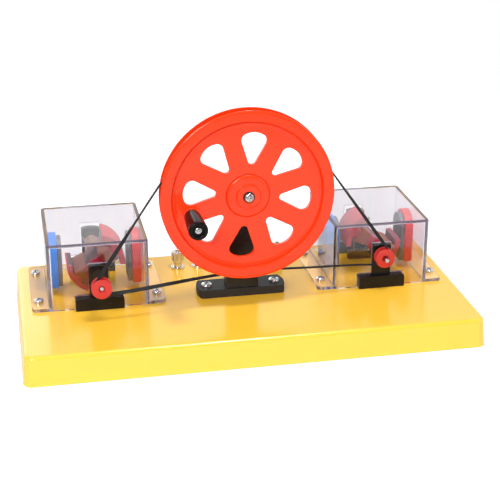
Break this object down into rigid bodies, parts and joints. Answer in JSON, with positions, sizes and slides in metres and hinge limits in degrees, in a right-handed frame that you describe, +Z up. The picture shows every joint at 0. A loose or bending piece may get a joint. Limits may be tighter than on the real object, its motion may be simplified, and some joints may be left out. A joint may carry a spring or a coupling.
{
  "type": "demonstration dynamo",
  "caption": "Demonstration dynamo: a hand-cranked spoked wheel drives two small dynamos under clear covers through belts, on a shallow tray base.",
  "frame": {"origin": "middle of the base at the level its rubber feet stand on", "axes": "+X along the base towards the right-hand dynamo, +Y away from the crank, +Z up"},
  "size_m": [0.406, 0.204, 0.2096],
  "materials": {
    "tray_yellow": "glossy warm yellow moulding",
    "foot_rubber": "matt black",
    "bright_screw": "bright plated steel",
    "stand_black": "semi-gloss black",
    "axle_steel": "ground steel",
    "collar_black": "matt black",
    "wheel_red": "satin orange-red moulding",
    "bearing_bronze": "sintered bronze",
    "grip_black": "glossy black",
    "belt_rubber": "matt black",
    "clear_acrylic": "clear acrylic with faint lilac edges",
    "bracket_black": "glossy black",
    "magnet_blue": "satin blue",
    "magnet_red": "satin red",
    "ferrite_grey": "dark grey ferrite",
    "pulley_red": "satin red moulding",
    "core_red": "red paint on iron",
    "cheek_red": "red insulating cheeks",
    "copper_wire": "enamelled copper wire",
    "sleeve_crimson": "matt crimson",
    "segment_brass": "polished brass",
    "block_brown": "brown insulating block",
    "brush_bronze": "springy bronze strip",
    "terminal_nickel": "nickel plate",
    "lead_red": "red insulated wire",
    "lead_black": "black insulated wire"
  },
  "bodies": {
    "stand": {"base_tray": "tray_yellow", "rubber_feet": "foot_rubber", "foot_screws": "bright_screw", "wheel_stand": "stand_black", "stand_screws": "bright_screw", "axle": "axle_steel", "axle_collar": "collar_black", "left_belt": "belt_rubber", "right_belt": "belt_rubber", "left_cover": "clear_acrylic", "right_cover": "clear_acrylic", "left_cover_screws": "bright_screw", "right_cover_screws": "bright_screw", "left_front_bracket": "bracket_black", "right_front_bracket": "bracket_black", "left_rear_bracket": "bracket_black", "right_rear_bracket": "bracket_black", "left_bushes": "bearing_bronze", "right_bushes": "bearing_bronze", "bracket_screws": "bright_screw", "left_blue_magnet": "magnet_blue", "right_blue_magnet": "magnet_blue", "left_red_magnet": "magnet_red", "right_red_magnet": "magnet_red", "left_ferrites": "ferrite_grey", "right_ferrites": "ferrite_grey", "left_brush_block": "block_brown", "right_brush_block": "block_brown", "left_brushes": "brush_bronze", "right_brushes": "brush_bronze", "left_terminals": "terminal_nickel", "right_terminals": "terminal_nickel", "left_red_lead": "lead_red", "right_red_lead": "lead_red", "left_black_lead": "lead_black", "right_black_lead": "lead_black"},
    "wheel": {"wheel": "wheel_red", "wheel_bush": "bearing_bronze", "grip_spindle": "axle_steel"},
    "grip": {"crank_grip": "grip_black"},
    "left_armature": {"left_shaft": "axle_steel", "left_pulley": "pulley_red", "left_core": "core_red", "left_cheeks": "cheek_red", "left_windings": "copper_wire", "left_commutator_sleeve": "sleeve_crimson", "left_commutator_segments": "segment_brass"},
    "right_armature": {"right_shaft": "axle_steel", "right_pulley": "pulley_red", "right_core": "core_red", "right_cheeks": "cheek_red", "right_windings": "copper_wire", "right_commutator_sleeve": "sleeve_crimson", "right_commutator_segments": "segment_brass"},
    "left_inner_terminal_nut": {"left_inner_nut": "terminal_nickel"},
    "left_outer_terminal_nut": {"left_outer_nut": "terminal_nickel"},
    "right_inner_terminal_nut": {"right_inner_nut": "terminal_nickel"},
    "right_outer_terminal_nut": {"right_outer_nut": "terminal_nickel"}
  },
  "joints": [
    {"name": "wheel_spin", "type": "hinge", "parent": "stand", "child": "wheel", "pos_m": [0, 0, 0.1326], "axis": [0, 1, 0], "continuous": true},
    {"name": "grip_spin", "type": "hinge", "parent": "wheel", "child": "grip", "pos_m": [-0.04999, -0.056, 0.11827], "axis": [0, 1, 0], "continuous": true},
    {"name": "left_armature_spin", "type": "hinge", "parent": "stand", "child": "left_armature", "pos_m": [-0.1305, 0, 0.0592], "axis": [0, 1, 0], "continuous": true},
    {"name": "right_armature_spin", "type": "hinge", "parent": "stand", "child": "right_armature", "pos_m": [0.1305, 0, 0.0592], "axis": [0, 1, 0], "continuous": true},
    {"name": "left_inner_nut_turn", "type": "hinge", "parent": "stand", "child": "left_inner_terminal_nut", "pos_m": [-0.029, 0.066, 0.038], "axis": [0, 0, 1], "range_deg": [0, 720]},
    {"name": "left_outer_nut_turn", "type": "hinge", "parent": "stand", "child": "left_outer_terminal_nut", "pos_m": [-0.049, 0.066, 0.038], "axis": [0, 0, 1], "range_deg": [0, 720]},
    {"name": "right_inner_nut_turn", "type": "hinge", "parent": "stand", "child": "right_inner_terminal_nut", "pos_m": [0.029, 0.066, 0.038], "axis": [0, 0, 1], "range_deg": [0, 720]},
    {"name": "right_outer_nut_turn", "type": "hinge", "parent": "stand", "child": "right_outer_terminal_nut", "pos_m": [0.049, 0.066, 0.038], "axis": [0, 0, 1], "range_deg": [0, 720]}
  ],
  "couplings": [
    {"joint": "left_armature_spin", "follows": "wheel_spin", "ratio": 9.9859},
    {"joint": "right_armature_spin", "follows": "wheel_spin", "ratio": 9.9859}
  ]
}
